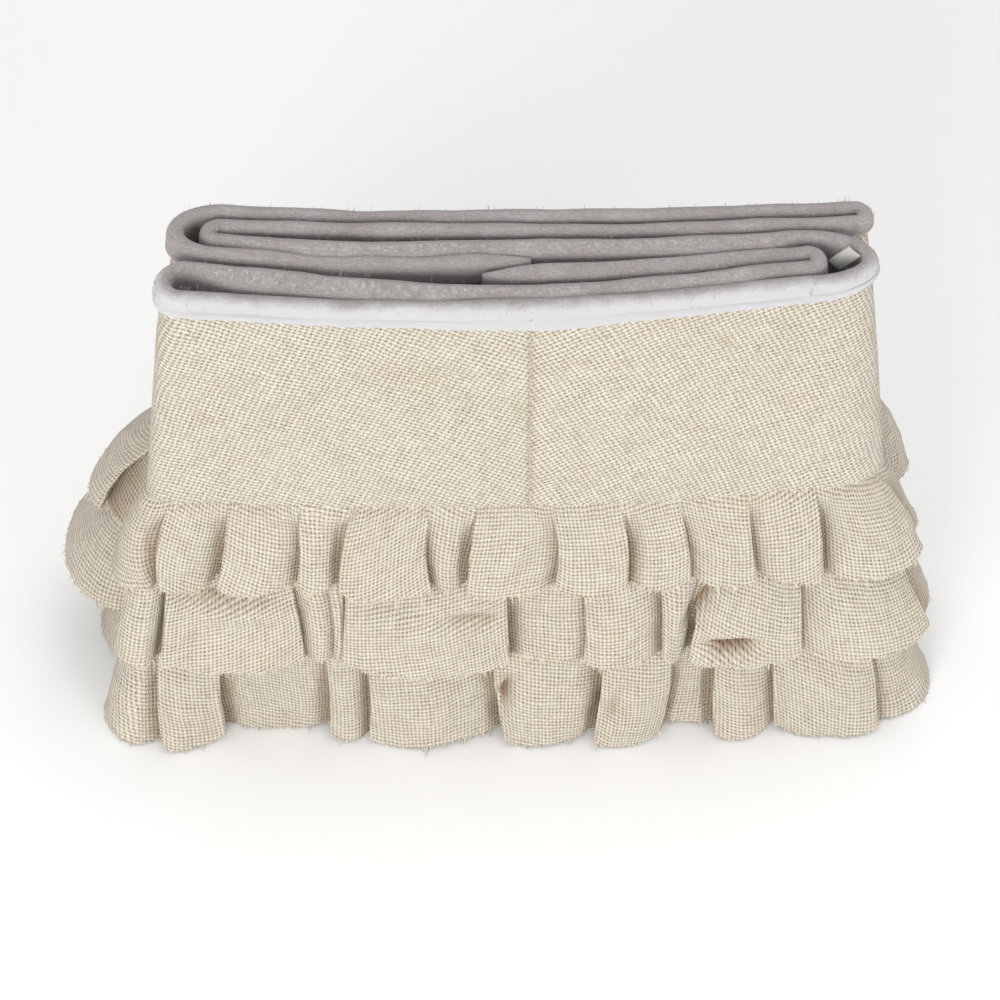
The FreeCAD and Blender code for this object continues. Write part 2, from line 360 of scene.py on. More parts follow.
class Cloth:
    """Collects the vertices, faces, UVs and material numbers of one piece."""

    def __init__(self):
        self.points, self.faces, self.slots = [], [], []
        self.count = 0

    def add(self, points, groups, uvs, slot=0):
        """groups are lists of faces that have equally many corners. Faces hold indices into
        points, and uvs has one pair for each point."""
        uvs = np.asarray(uvs).reshape(-1, 2)
        for faces in groups:
            faces = np.asarray(faces)
            self.faces.append((faces + self.count, uvs[faces]))
            self.slots += [slot] * len(faces)
        self.points.append(np.asarray(points).reshape(-1, 3))
        self.count += len(self.points[-1])

    def tube(self, points, uv):
        """A closed section, one row for each of its points, with a flat cap at both ends."""
        rows, cols = points.shape[:2]
        index = np.arange(rows * cols).reshape(rows, cols)
        quads = grid_faces(np.vstack([index, index[:1]]))[:, [0, 3, 2, 1]]
        self.add(points, (quads, [index[::-1, 0]], [index[:, -1]]), uv)

    def shell(self, outer, inner, uv):
        """A closed thin shell between two grids."""
        rows, cols = outer.shape[:2]
        n = rows * cols
        index = np.arange(n).reshape(rows, cols)
        face = grid_faces(index)
        rim = []
        for edge in (index[0, ::-1], index[-1], index[:, 0], index[::-1, -1]):
            rim.append(np.stack([edge[:-1], edge[1:], edge[1:] + n, edge[:-1] + n], axis=-1))
        both = np.concatenate([outer.reshape(-1, 3), inner.reshape(-1, 3)])
        uvs = np.concatenate([uv.reshape(-1, 2)] * 2)
        quads = np.concatenate([face, face[:, ::-1] + n] + rim)
        self.add(both, (quads[:, ::-1],), uvs)

    def make(self, name, materials, crisp=35.0, hollow_shade=None):
        """The object itself. A shell can carry painted shade, as much as given for each of its
        outer points. The inner ones get the same, and points that were added later get 0."""
        def put(things, key, values, kind=np.int32):
            things.foreach_set(key, np.asarray(values).astype(kind).ravel())

        points = np.concatenate(self.points) * MM
        sizes = np.concatenate([np.full(len(f), f.shape[1]) for f, uv in self.faces])
        loops = np.concatenate([f.ravel() for f, uv in self.faces])
        uvs = np.concatenate([uv.reshape(-1, 2) for f, uv in self.faces])
        mesh = bpy.data.meshes.new(name)
        mesh.vertices.add(len(points))
        mesh.loops.add(len(loops))
        mesh.polygons.add(len(sizes))
        put(mesh.vertices, "co", points, np.float32)
        put(mesh.loops, "vertex_index", loops)
        put(mesh.polygons, "loop_start", np.cumsum(sizes) - sizes)
        put(mesh.polygons, "material_index", self.slots)
        put(mesh.polygons, "use_smooth", sizes, bool)
        put(mesh.uv_layers.new(name="cloth").data, "uv", uvs / UV_UNIT, np.float32)
        mesh.update(calc_edges=True)
        mesh.validate()
        for material in materials:
            mesh.materials.append(material)
        mesh.set_sharp_from_angle(angle=radians(crisp))
        if hollow_shade is not None:
            shaded = np.zeros(self.count)
            shaded[:2 * hollow_shade.size] = np.tile(hollow_shade.ravel(), 2)
            put(mesh.attributes.new("hollow_shade", "FLOAT", "POINT").data, "value", shaded, np.float32)
        obj = place(name, mesh)
        return obj


# The UV map holds the cloth's flat millimetres over this
UV_UNIT = 100.0
# Where the lining's face begins, as length round its section from the inner foot
FELT_FACE = HEIGHT - CLOTH_FOOT + 3.8


# -------- materials

class Value:
    """A socket of a node tree that can be added to, taken from, multiplied and divided."""

    def __init__(self, shader, socket):
        self.shader, self.socket = shader, socket


for name, operation in (("add", "ADD"), ("sub", "SUBTRACT"), ("mul", "MULTIPLY"),
                        ("truediv", "DIVIDE")):
    setattr(Value, "__%s__" % name,
            lambda self, other, kind=operation: self.shader.math(kind, self, other))


class Shader:
    """A short way to write node trees."""

    def __init__(self, name):
        self.material = bpy.data.materials.new(name)
        self.material.use_nodes = True
        self.tree = self.material.node_tree
        self.tree.nodes.clear()

    def node(self, kind, *values, **settings):
        n = self.tree.nodes.new(kind)
        for key, value in settings.items():
            setattr(n, key, value)
        for i, value in enumerate(values):
            self.put(n.inputs[i], value)
        return n

    def put(self, socket, value):
        if isinstance(value, Value):
            self.tree.links.new(value.socket, socket)
        elif value is not None:
            socket.default_value = value

    def fill(self, node, **values):
        """Underscores stand for the spaces in the sockets' names."""
        for name, value in values.items():
            self.put(node.inputs[name.replace("_", " ")], value)

    def math(self, operation, *values):
        return Value(self, self.node("ShaderNodeMath", *values, operation=operation).outputs[0])

    def mix(self, share, a, b, kind="MIX"):
        n = self.node("ShaderNodeMix", data_type="RGBA", blend_type=kind)
        for socket, value in ((n.inputs["Factor"], share), (n.inputs[6], a), (n.inputs[7], b)):
            self.put(socket, value)
        return Value(self, n.outputs[2])

    def ramp(self, value, low, high, to_low=0.0, to_high=1.0):
        n = self.node("ShaderNodeMapRange", value, low, high, to_low, to_high,
                      interpolation_type="SMOOTHSTEP")
        return Value(self, n.outputs[0])

    def tint(self, colour, other, value, low, high, most):
        """Mixes in most of the other colour where the value is high, and none where it is low."""
        return self.mix(self.ramp(value, low, high, 0.0, most), colour, other)

    def vector(self, x, y, z=0.0):
        return Value(self, self.node("ShaderNodeCombineXYZ", x, y, z).outputs[0])

    def noise(self, place, scale, detail=2.0, rough=0.5):
        """place is a vector, or its coordinates."""
        vector = self.vector(*place) if isinstance(place, tuple) else place
        n = self.node("ShaderNodeTexNoise")
        self.fill(n, Vector=vector, Scale=scale, Detail=detail, Roughness=rough)
        return Value(self, n.outputs[0])

    def cloth_mm(self):
        """The cloth's own flat coordinates, in millimetres."""
        uv = Value(self, self.node("ShaderNodeUVMap", uv_map="cloth").outputs[0])
        xyz = self.node("ShaderNodeSeparateXYZ", uv)
        return Value(self, xyz.outputs[0]) * UV_UNIT, Value(self, xyz.outputs[1]) * UV_UNIT

    def surface(self, colour, rough, height, depth, strength=1.0, sheen=0.0, sheen_rough=0.5,
                specular=0.3):
        bump = self.node("ShaderNodeBump")
        self.fill(bump, Strength=strength, Distance=depth, Height=height)
        principled = self.node("ShaderNodeBsdfPrincipled")
        self.fill(principled, Base_Color=colour, Roughness=rough, Sheen_Weight=sheen,
                  Normal=Value(self, bump.outputs[0]), Sheen_Roughness=sheen_rough,
                  Specular_IOR_Level=specular)
        self.node("ShaderNodeOutputMaterial", Value(self, principled.outputs[0]))
        return self.material


# Tints laid over the burlap: old stains, a pink cast, a painted highlight on a yarn's crown, loose
# fibres, and the painted shade that the cloth's own colour is multiplied with in creases and
# hollows
STAIN, PINK = (0.6, 0.53, 0.37, 1), (0.66, 0.545, 0.465, 1)
CROWN_HIGHLIGHT, FIBRE = (0.84, 0.8, 0.715, 1), (0.52, 0.44, 0.335, 1)
CREASE_SHADE = (0.5, 0.37, 0.245, 1)
# The lining's greys and its pink cast, its dark flecks, pale fibres, and the painted light on its
# front face
FELT_DARK, FELT_PALE = (0.385, 0.352, 0.343, 1), (0.475, 0.448, 0.443, 1)
FELT_PINK, FELT_FLECK = (0.425, 0.360, 0.344, 1), (0.25, 0.215, 0.2, 1)
FELT_STRAND, FELT_LIT_FACE = (0.8, 0.78, 0.79, 1), (0.775, 0.77, 0.8, 1)
# How tall the yarns' relief is, and the felt's and the threads', in metres
WEAVE_DEPTH, FELT_DEPTH, THREAD_DEPTH = 0.0009, 0.0014, 0.0003
# How far along the yarn its unevenness is drawn out
ALONG_YARN = 0.16


def burlap(name, pale, tan, hole_shade, pitch, cover, seed, wander):
    """Plain-woven jute: round yarns over and under, uneven in thickness, with painted shade in the
    gaps between and low on the yarns, and painted highlights on their crowns.
    """
    s = Shader(name)
    u, v = s.cloth_mm()
    place = s.vector(u, v, seed)
    drift = (s.noise(place, 1 / 55.0, 1.0) * 2.6
             + s.noise((v, u, seed + 7.0), 1 / 9.0) * (0.8 * wander))
    sway = s.noise(place, 1 / 40.0, 1.0) * (3.0 * wander) + s.noise(place, 1 / 8.0) * (0.9 * wander)
    cos_u = s.math("COSINE", (u / pitch[0] + drift) * pi)
    cos_v = s.math("COSINE", (v / pitch[1] + sway) * pi)
    over = cos_u * cos_v
    thick_u = s.noise((u, v * ALONG_YARN, seed + 3.0), 1 / 1.5)
    thick_v = s.noise((u * ALONG_YARN, v, seed + 5.0), 1 / 1.3)
    body_u = s.math("ABSOLUTE", cos_u) + thick_u - (cover[0] + 0.5)
    body_v = s.math("ABSOLUTE", cos_v) + thick_v - (cover[1] + 0.5)
    high_u = s.math("SQRT", s.math("MAXIMUM", body_u, 0.0)) * (over * 0.48 + 0.6)
    high_v = s.math("SQRT", s.math("MAXIMUM", body_v, 0.0)) * (over * -0.48 + 0.6)
    height = s.math("MAXIMUM", high_u, high_v)
    # Painted shade in the gaps between yarns: how dark it is varies in patches and from gap to gap
    patch = s.noise((u, v, seed + 15.0), 1 / 22.0, 2.0, 0.6)
    single = s.noise((v, u, seed + 11.0), 1 / 1.9, 1.0)
    depth = s.ramp(patch, 0.3, 0.65, 0.55, 1.0) * s.ramp(single, 0.32, 0.66, 0.25, 1.0)
    gap = s.ramp(s.math("MAXIMUM", body_u, body_v), -0.22, 0.16, 1.0, 0.0) * depth
    fibre = s.noise(place, 3.2, 3.0, 0.75)
    yarn = s.noise((u, v * 0.15, seed + 9.0), 1 / 1.6, 1.0)
    pick = s.noise((u * 0.12, v, seed + 13.0), 1 / 1.6, 1.0)
    stain = s.noise(place, 1 / 38.0, 3.0, 0.6)
    pink = s.noise((u, v, seed + 21.0), 1 / 20.0, 2.0, 0.6)
    colour = s.mix(s.ramp((yarn + pick) * 0.5, 0.38, 0.68), pale, tan)
    colour = s.tint(colour, STAIN, stain, 0.45, 0.75, 0.35)
    colour = s.tint(colour, PINK, pink, 0.5, 0.78, 0.38)
    # Painted shade: the yarns are darker, and warmer, where their relief is low
    shade = s.ramp(height, 0.02, 0.6, 0.6, 1.0)
    warm_yarn_shade = s.vector(shade, s.math("POWER", shade, 1.08), s.math("POWER", shade, 1.22))
    colour = s.mix(1.0, colour, warm_yarn_shade, "MULTIPLY")
    # Painted highlight on the yarns' crowns
    colour = s.tint(colour, CROWN_HIGHLIGHT, height, 0.42, 0.8, 0.55)
    colour = s.tint(colour, FIBRE, fibre, 0.38, 0.7, 0.26)
    # Painted shade in the gaps between the yarns
    colour = s.mix(gap, colour, hole_shade)
    # Painted shade in creases and hollows, as much as the piece's points carry
    hollow_shade = Value(s, s.node("ShaderNodeAttribute", attribute_name="hollow_shade").outputs["Fac"])
    colour = s.mix(s.math("MINIMUM", hollow_shade, 0.85), colour, s.mix(1.0, colour, CREASE_SHADE, "MULTIPLY"))
    return s.surface(colour, 0.88, fibre * 0.25 + height, WEAVE_DEPTH, sheen=0.15, specular=0.12)


def felt(name, lit_span):
    """Needled felt: mottled pale grey with a pink cast, with painted light making its face whiter
    between the two lengths along the ring."""
    s = Shader(name)
    u, v = s.cloth_mm()
    place = s.vector(u, v)
    cloud = s.noise(place, 1 / 26.0, 4.0, 0.6)
    pink = s.noise((v, u, 4.0), 1 / 15.0, 3.0, 0.6)
    fleck = s.noise((u, v * 2.2, 9.0), 0.8, 4.0, 0.75)
    fuzz = s.noise(place, 1.6, 4.0, 0.7)
    strands = s.noise((u * 0.35, v * 2.5, 2.0), 1.2, 3.0, 0.7)
    colour = s.mix(s.ramp(cloud, 0.35, 0.7), FELT_DARK, FELT_PALE)
    colour = s.tint(colour, FELT_PINK, pink, 0.42, 0.72, 0.6)
    colour = s.mix(s.ramp(fleck, 0.36, 0.6, 0.55, 0.0), colour, FELT_FLECK)
    colour = s.tint(colour, FELT_STRAND, strands, 0.5, 0.68, 0.42)
    first, last = lit_span
    # Painted light: the face is whiter between the two lengths along the ring
    shown = s.ramp(u, first - 6.0, first + 6.0) * s.ramp(u, last - 6.0, last + 6.0, 1.0, 0.0)
    face = s.ramp(v + (cloud - 0.5) * 9.0, FELT_FACE - 3.0, FELT_FACE + 3.0)
    colour = s.mix(face * shown * 0.74, colour, FELT_LIT_FACE)
    return s.surface(colour, 0.95, fuzz * 0.6 + strands * 0.4, FELT_DEPTH, sheen=0.4,
                     sheen_rough=0.6, specular=0.1)


def spun(name, light, groove_shade_colour, pitch):
    """Spun thread or yarn: a fine slanting twist."""
    s = Shader(name)
    u, v = s.cloth_mm()
    twist = s.math("SINE", (u + v * 1.3) * (2 * pi / pitch))
    height = twist * 0.4 + s.noise((u, v), 3.0, 3.0, 0.7)
    # Painted shade: darker where the twist's relief is low
    colour = s.mix(s.ramp(height, -0.1, 0.9), groove_shade_colour, light)
    return s.surface(colour, 0.85, height, THREAD_DEPTH, 0.7, sheen=0.2, specular=0.2)


def ribbed(name, light, groove_shade_colour, pitch):
    """Woven tape with a fine rib across it."""
    s = Shader(name)
    u, v = s.cloth_mm()
    rib = s.math("SINE", v * (2 * pi / pitch))
    cross = s.math("SINE", u * (2 * pi / (pitch * 0.8)))
    height = cross * 0.2 + rib + s.noise((u, v), 1.2, 3.0, 0.7)
    # Painted shade: darker where the ribs' relief is low
    colour = s.mix(s.ramp(height, -0.6, 1.4), groove_shade_colour, light)
    return s.surface(colour, 0.7, height, THREAD_DEPTH, 0.7, sheen=0.1, specular=0.3)


def plain(name, colour, rough):
    """A smooth floor with a faint grain."""
    s = Shader(name)
    place = Value(s, s.node("ShaderNodeTexCoord").outputs["Object"])
    grain = s.noise(place, 60.0, 3.0)
    tint = s.mix(s.ramp(grain, 0.3, 0.7, 0.0, 0.03), colour, (0.8, 0.8, 0.8, 1))
    return s.surface(tint, rough, grain, 0.0001, 0.1)


PANEL_CLOTH = burlap("burlap_panel", pale=(0.725, 0.685, 0.6, 1), tan=(0.635, 0.585, 0.485, 1),
                     hole_shade=(0.2, 0.155, 0.105, 1), pitch=(2.3, 1.9), cover=(0.63, 0.45),
                     seed=0.0, wander=1.0)
RUFFLE_CLOTH = burlap("burlap_ruffle", pale=(0.69, 0.63, 0.54, 1), tan=(0.6, 0.53, 0.435, 1),
                      hole_shade=(0.13, 0.09, 0.06, 1), pitch=(1.8, 2.1), cover=(0.47, 0.4),
                      seed=31.0, wander=0.35)
# The lining's face has painted light from the middle of the right-hand bend to the end of the
# front's loop
FELT_CLOTH = felt("felt", (np.mean(ring.u[list(ring.cut["right_outer_turn"])]),
                           ring.u[ring.bends["front"][1]]))
LINT = spun("felt_lint", (0.66, 0.62, 0.6, 1), (0.17, 0.14, 0.12, 1), 3.0)
YARN = spun("jute_yarn", (0.86, 0.78, 0.63, 1), (0.6, 0.5, 0.36, 1), 0.9)
THREAD = spun("sewing_thread", (0.8, 0.73, 0.62, 1), (0.52, 0.44, 0.34, 1), 0.6)
TAPE = ribbed("closure_tape", (0.8, 0.78, 0.74, 1), (0.62, 0.6, 0.56, 1), 1.2)
LABEL = ribbed("label_tape", (0.8, 0.785, 0.75, 1), (0.66, 0.64, 0.6, 1), 0.7)
FLOOR = plain("floor_white", (0.97, 0.97, 0.97, 1), 0.95)


# -------- how the pieces move

def bend(obj, joint, front, back, half):
    """Bakes a piece's placement into its mesh; the piece is not made to bend. It works out the
    direction across the fold's plane, which holds the hinge line and runs across the leaves, but
    doesn't use it. The two bodies and the half width are not used."""
    hinge = next(j for j in frame["joints"] if j["name"] == joint)
    across = Vector((1, 0, 0)).cross(Vector(hinge["axis"])).normalized()
    if across.y < 0:
        across = -across
    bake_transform(obj)


BENDS = {
    # Joint, body on the front side, body on the back side, half the bending zone's width
    "right_inner_turn": ("front_fold", "front_third", "middle_third", 0.6),
    "right_outer_turn": ("front_fold", "front_third", "middle_third", 8.9),
    "left_inner_turn": ("back_fold", "middle_third", "back_third", 0.6),
    "left_outer_turn": ("back_fold", "middle_third", "back_third", 8.8),
}


def attach(obj, run, *nodes):
    """Makes a piece of one run of the ring move with that run's body, except in the bends, where it
    is only baked in place, and stand for its CAD nodes.
    """
    if run in BENDS:
        bend(obj, *BENDS[run])
    else:
        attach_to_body(obj, BODY[run])
    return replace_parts(obj, *nodes)


# -------- felt lining

def arc(cx, cz, radius, start, end, count):
    angles = np.radians(np.linspace(start, end, count))
    return [(cx + radius * cos(a), cz + radius * sin(a)) for a in angles]


def felt_profile():
    """The lining's section: up its inner side, over the roll, down the flap, and back down."""
    radius = (FLAP_OUT - FELT_IN) / 2
    side = HEIGHT - radius
    flap = HEIGHT - BAND_DEPTH
    lip = (FLAP_OUT - FLAP_IN) / 2
    rise = (CLOTH_FOOT, 40, 80, 120, 160, 200, 235, 260, 274)
    points = [(FELT_IN, z) for z in rise]
    points += arc(ROLL_MIDDLE, side, radius, 180, 0, 13)
    points += [(FLAP_OUT, side - 3), (FLAP_OUT, (side + flap) / 2), (FLAP_OUT, flap + 3)]
    points += arc(FLAP_IN + lip, flap + 1.4, lip, -10, -170, 6)
    inside = HEIGHT - (FELT_OUT - FELT_IN)
    points += [(FLAP_IN, flap + 4), (FLAP_IN, inside - 1), (FLAP_IN - 0.5, inside),
               (FELT_OUT + 0.5, inside), (FELT_OUT, inside - 1)]
    points += [(FELT_OUT, z) for z in rise[::-1]]
    return np.array(points)


def rod(cloth, rings, side, other, corners, uv, slot):
    """A closed rod: corners round each of its rings, which are (middle, radius)."""
    turns = np.linspace(0, 2 * pi, corners + 1)[:-1]
    points = [middle + (side * cos(a) + other * sin(a)) * radius
              for middle, radius in rings for a in turns]
    last = len(points) - corners
    quads = [(r + i, r + (i + 1) % corners, r + (i + 1) % corners + corners, r + i + corners)
             for r in range(0, last, corners) for i in range(corners)]
    uv = np.array([(i % corners * uv[0], i // corners * uv[1]) for i in range(len(points))])
    ends = ([range(corners)[::-1]], [range(last, len(points))])
    cloth.add(points, (quads, *ends), uv, slot)


def thin_yarn(cloth, base, tip, thick, rng):
    """A tapered three-sided yarn end from base to tip, in the piece's second material."""
    axis = tip - base
    length = norm(axis)
    side = np.cross(axis, rng.normal(size=3))
    side /= norm(side)
    bent = (base + tip) / 2 + side * length * 0.12
    rod(cloth, ((base, thick), (bent, thick * 0.85), (tip, thick * 0.4)),
        side, np.cross(axis / length, side), 3, (1, length / 2), 1)


def make_lining():
    rng = np.random.default_rng(11)
    swell, dip, wander = Waves(rng, 90, 18), Waves(rng, 120, 30), Waves(rng, 60, 14)
    profile, u = felt_profile(), ring.u
    off = np.repeat(profile[:, :1], len(u), axis=1)
    z = np.repeat(profile[:, 1:], len(u), axis=1)
    # 0 on the plain sheet and 1 on the roll
    high = ease((z - 258) / 16)
    off = ROLL_MIDDLE + (off - ROLL_MIDDLE) * (1 + 0.1 * swell(u[None, :], 0 * z) * high)
    for run, first, last, plump in PLUMP:
        i, j = ring.cut[run]
        begin, end = u[i] + (u[j] - u[i]) * first, u[i] + (u[j] - u[i]) * last
        share = ease((u - begin) / 18) * ease((end - u) / 18)
        off = off - np.where(off < FELT_OUT - 0.1, plump, 0) * share[None, :] * high
    z = z - high * (0.9 + 0.9 * dip(u[None, :], 0 * z))
    on_flap = (off > 2.6) & (z > 262)
    off = off + np.where(on_flap, 0.35 * wander(u[None, :], z * 2.0), 0)
    # Thinner and lower towards the two lapped ends
    ends = np.minimum(u - u[0], u[-1] - u)[None, :]
    taper = np.sqrt(np.clip(ends / LAP_TAPER, 0, 1)) * 0.62 + 0.38
    off = np.where(high > 0, FELT_OUT + (off - FELT_OUT) * (1 + (taper - 1) * high), off)
    z = z - (1 - taper) * high * 3.0
    # The flap is longest at the front's seam, and shortest at its right-hand end
    x = ring.at(u, HEIGHT, 0.0)[:, 0]
    short = 3.6 - 2.8 * np.exp(-((x - 8) / 48) ** 2) + 4.0 * ease((x - 118) / 40)
    flap_share = ease((HEIGHT - 7 - z) / 5) * (off > FLAP_IN - 0.9)
    z = z + flap_share * short[None, :]
    points = ring.at(u[None, :], z, off)
    along = line_lengths(profile)
    uv = flat_uv(u[None, :], along[:, None])
    for run in ring.names:
        i, j = ring.cut[run]
        cloth = Cloth()
        part = points[:, i:j + 1]
        cloth.tube(part, uv[:, i:j + 1])
        for column in rng.integers(1, j - i, int((u[j] - u[i]) / LINT_EVERY)):
            base = part[rng.integers(*LINT_ROWS), column]
            way = (base - part[LINT_ROWS[0] - 3, column]) * 0.06
            way = way + rng.normal(0, 0.8, 3) + (0, 0, 0.25)
            tip = base + way / norm(way) * rng.uniform(1.2, 4.2)
            thin_yarn(cloth, base, tip, 0.1, rng)
        obj = cloth.make("felt_lining_" + run, [FELT_CLOTH, LINT], crisp=50)
        attach(obj, run, "lining_" + run)


# -------- burlap panels

# Heights of the panels' rows of points
PANEL_LEVELS = (30, 60, 90, 115, 135, 148, 154, 157, 160, 164, 170, *range(178, 259, 8),
                265, 271, 276)


def make_panels():
    """The three panels. Each is cut so that its own middle is straight to the weave, and the
    weave turns away from there, as on a cone. Gives back where the two seams are."""
    rng = np.random.default_rng(23)
    sag, ripple = Waves(rng, 120, 40), Waves(rng, 30, 12)
    lengths = ring.u
    walked = line_lengths(ring.at(lengths, HEIGHT * 0.7, BURLAP_OUT))
    front_seam = ring.find("front", SEAM_AT["front"], leaf_part="first")
    back_seam = ring.find("back", SEAM_AT["back"], leaf_part="last")
    panels = {1: (lengths[0], back_seam), 2: (back_seam, front_seam), 3: (front_seam, lengths[-1])}
    levels = np.array((CLOTH_FOOT,) + PANEL_LEVELS + (PANEL_TOP,))
    radius = walked[-1] / CONE_ANGLE - HEIGHT * 0.3
    for number, (first, last) in panels.items():
        middle = (np.interp(first, lengths, walked) + np.interp(last, lengths, walked)) / 2
        for run in ring.names:
            i, j = ring.cut[run]
            low, high = max(first, lengths[i]), min(last, lengths[j])
            if high - low < 1.0:
                continue
            inside = lengths[(lengths > low + 0.4) & (lengths < high - 0.4)]
            u = np.concatenate([[low], inside, [high]])[None, :]
            z = levels[:, None]
            free = ease((PANEL_TOP - z) / 30) * ease((z - SEAM_HEIGHT) / 25)
            from_seam = np.minimum(abs(u - first), abs(u - last))
            puff = 0.55 + 0.45 * sag(u, z) + 0.12 * ripple(u, z)
            swell = np.clip(puff, 0, 2) * free * ease(from_seam / 14) * 0.9
            below_seam = np.exp(-((z - SEAM_HEIGHT - 4) / 5) ** 2)
            pucker = 0.35 * (1 + ripple(u * 1.5, 0 * z)) * below_seam
            lap_end = 1 - ease(np.minimum(u, lengths[-1] - u) / LAP_TAPER)
            z = z - ease((z - 250) / 25) * 7.0 * lap_end
            outer = ring.at(u, z, BURLAP_OUT + swell + pucker)
            inner = ring.at(u, z, BURLAP_IN + swell * 0.9)
            angle = (np.interp(u, lengths, walked) - middle) / walked[-1] * CONE_ANGLE
            reach = radius + HEIGHT - z
            cloth = Cloth()
            cloth.shell(outer, inner, flat_uv(reach * np.sin(angle), reach * np.cos(angle)))
            part = "end" if run.endswith("end") else re.sub("inner_|outer_", "", run)
            node = "panel_%d_%s" % (number, part)
            # Painted shade in a thin line along the seams between the panels
            seam_shade = 0.4 * np.exp(-(from_seam / 0.8) ** 2) + 0 * z
            obj = cloth.make("burlap_" + node, [PANEL_CLOTH], hollow_shade=seam_shade)
            attach(obj, run, node)
    return {"front": front_seam, "back": back_seam}


# -------- ruffles

# The pleats that can be seen on the front leaf, from left to right: x of the crease at the
# strip's seam and at its hem, which side lies on top (1 the right, -1 the left), how far it laps,
# and how much the cloth to the right of the crease bellies out.
FRONT_PLEATS = {
    1: [(-153, -163, 1, 7, 0.6), (-126, -136, 1, 8, 0.4), (-96, -100, 1, 5, 0),
        (-70.5, -80, 1, 9, 0.3), (-40.5, -40, -1, 5, 0), (-14, -21.5, 1, 9, 0.4),
        (17, 18, 1, 4, 0.2), (44, 49.5, -1, 7, 0), (71, 79, -1, 4, 0.2), (102, 109, -1, 5, 0.2),
        (131.5, 139, -1, 8, 0.5), (160, 172, -1, 6, 0.8)],
    2: [(-173, -184, 1, 6, 0.5), (-156, -166, 1, 9, 3.2), (-106, -100, -1, 3, 0),
        (-87, -85, 1, 2, 0), (-75, -81, 1, 7, 2.6), (-10, -5, -1, 10, 0.4), (30, 32, 1, 3, 0.3),
        (66, 69, 1, 5, 0.4), (94, 82, 1, 12, 1.6), (128, 133, -1, 3, 2.2), (165, 176, -1, 5, 1.6)],
    3: [(-166, -170, 1, 6, 0.5), (-141, -142, -1, 8, 0), (-88, -89, 1, 8, 0.4),
        (-69, -70, 1, 6, 0.3), (-5, -4, 1, 11, 0.6), (45, 39, 1, 8, 0.5), (69, 69, -1, 8, 0),
        (100, 97, 1, 8, 0.8), (124, 126, 1, 4, 0.8), (160, 170, -1, 4, 1)],
}
# The other pleats' least and greatest width
PLEAT_WIDTH = {1: (21, 33), 2: (24, 48), 3: (22, 44)}
RUFFLE_THICK = 1.0
# Rows of points from a strip's seam to its hem
ROWS = 27
# How much a pleat's lower corner is drawn up at its crease, tier by tier
CORNER = {1: 2.4, 2: 3.0, 3: 4.2}
# Where the back leaf's ruffles start to be pressed flatter, as y, and by what share
BACK_ROOM, BACK_PRESS = 58.0, 0.85
# How much deeper the cloth goes at a crease, on the side that lies underneath
TUCK = 2.3
# The least distance from a crease to where the cloth starts to turn
LIP = 2.4
# The lowest tier's cloth stays above the first of these, and its frayed ends above the second
REST_HEIGHT, FRAY_HEIGHT = 0.75, 0.12
# Places where the front leaf's ruffles are pushed in or pulled out:
# tier, x, z, width, height, depth, slant
DENTS = [
    (2, 101, 70, 11, 3.6, -10, 0.1), (2, 99, 62, 13, 3.4, 5, 0), (2, 101, 79, 15, 5, 2.2, 0),
    (2, 86, 93, 3.4, 12, -9, 0.45), (2, -138, 101, 17, 3.6, -4.5, 0),
    (2, -128, 92, 22, 5, 3.2, 0.12), (2, -22, 90, 16, 4.5, -5, -0.9),
    (2, -42, 86, 22, 12, 3.4, 0), (2, -58, 97, 20, 4, -1.8, 0.2), (3, -6, 28, 4, 13, -10, 0.15),
    (3, -175, 8, 20, 40, 6, 0), (3, -115, 10, 17, 30, -4, 0), (3, -78, 8, 9, 40, 2.5, 0),
    (3, -38, 8, 20, 40, 4.5, 0), (3, 32, 8, 24, 40, 5, 0), (3, 83, 8, 9, 30, -3.5, 0),
    (3, 112, 8, 14, 40, 4, 0), (2, -130, 62, 18, 22, 3.5, 0), (2, -45, 62, 24, 22, 2.5, 0),
    (2, 45, 62, 26, 22, 3, 0), (2, 130, 62, 22, 22, 3, 0), (2, -175, 60, 14, 30, 3, 0),
    (1, -3, 128, 5, 20, 1.6, 0.45), (1, 24, 122, 7, 22, 1.2, -0.3),
    (1, -112, 124, 6, 20, 1.3, 0.4), (2, 150, 84, 20, 16, 2.5, 0), (3, 45, 22, 6, 14, -3.5, 0.3),
]


def pleats_for(tier, rng):
    """Every crease of a tier, from the strip's start to its end: length at the seam and at the
    hem, side, lap, and belly after it."""
    hem, top = TIERS[tier][:2]
    start, finish = ring.find("left_end", RUFFLE_LAP_STOP), ring.u[-1]
    shown = []
    for seam_x, hem_x, side, lap, belly in FRONT_PLEATS[tier]:
        ends = [ring.find("front", x, z, "first") for x, z in ((seam_x, top), (hem_x, hem))]
        shown.append((*ends, -side, lap, belly))
    shown.sort()
    # The strip runs from right to left here, so a crease takes the belly of the one before it
    shown = [row[:4] + (shown[max(i - 1, 0)][4],) for i, row in enumerate(shown)]

    def fill(first, last):
        total = last - first
        widths = []
        while sum(widths) < total:
            widths.append(rng.uniform(*PLEAT_WIDTH[tier]))
        widths = np.array(widths) * total / sum(widths)
        made = []
        for at in first + np.cumsum(widths)[:-1]:
            lean = rng.normal(0, 3.0)
            side = 1 if rng.random() < 0.55 else -1
            made.append((at, at + lean, side, rng.uniform(4, 9), rng.uniform(0, 1.2)))
        return made

    creases = fill(start, shown[0][0]) + shown + fill(shown[-1][0], finish)
    return [(start, start, 1, 0, 0)] + creases + [(finish, finish, 1, 0, 0)]


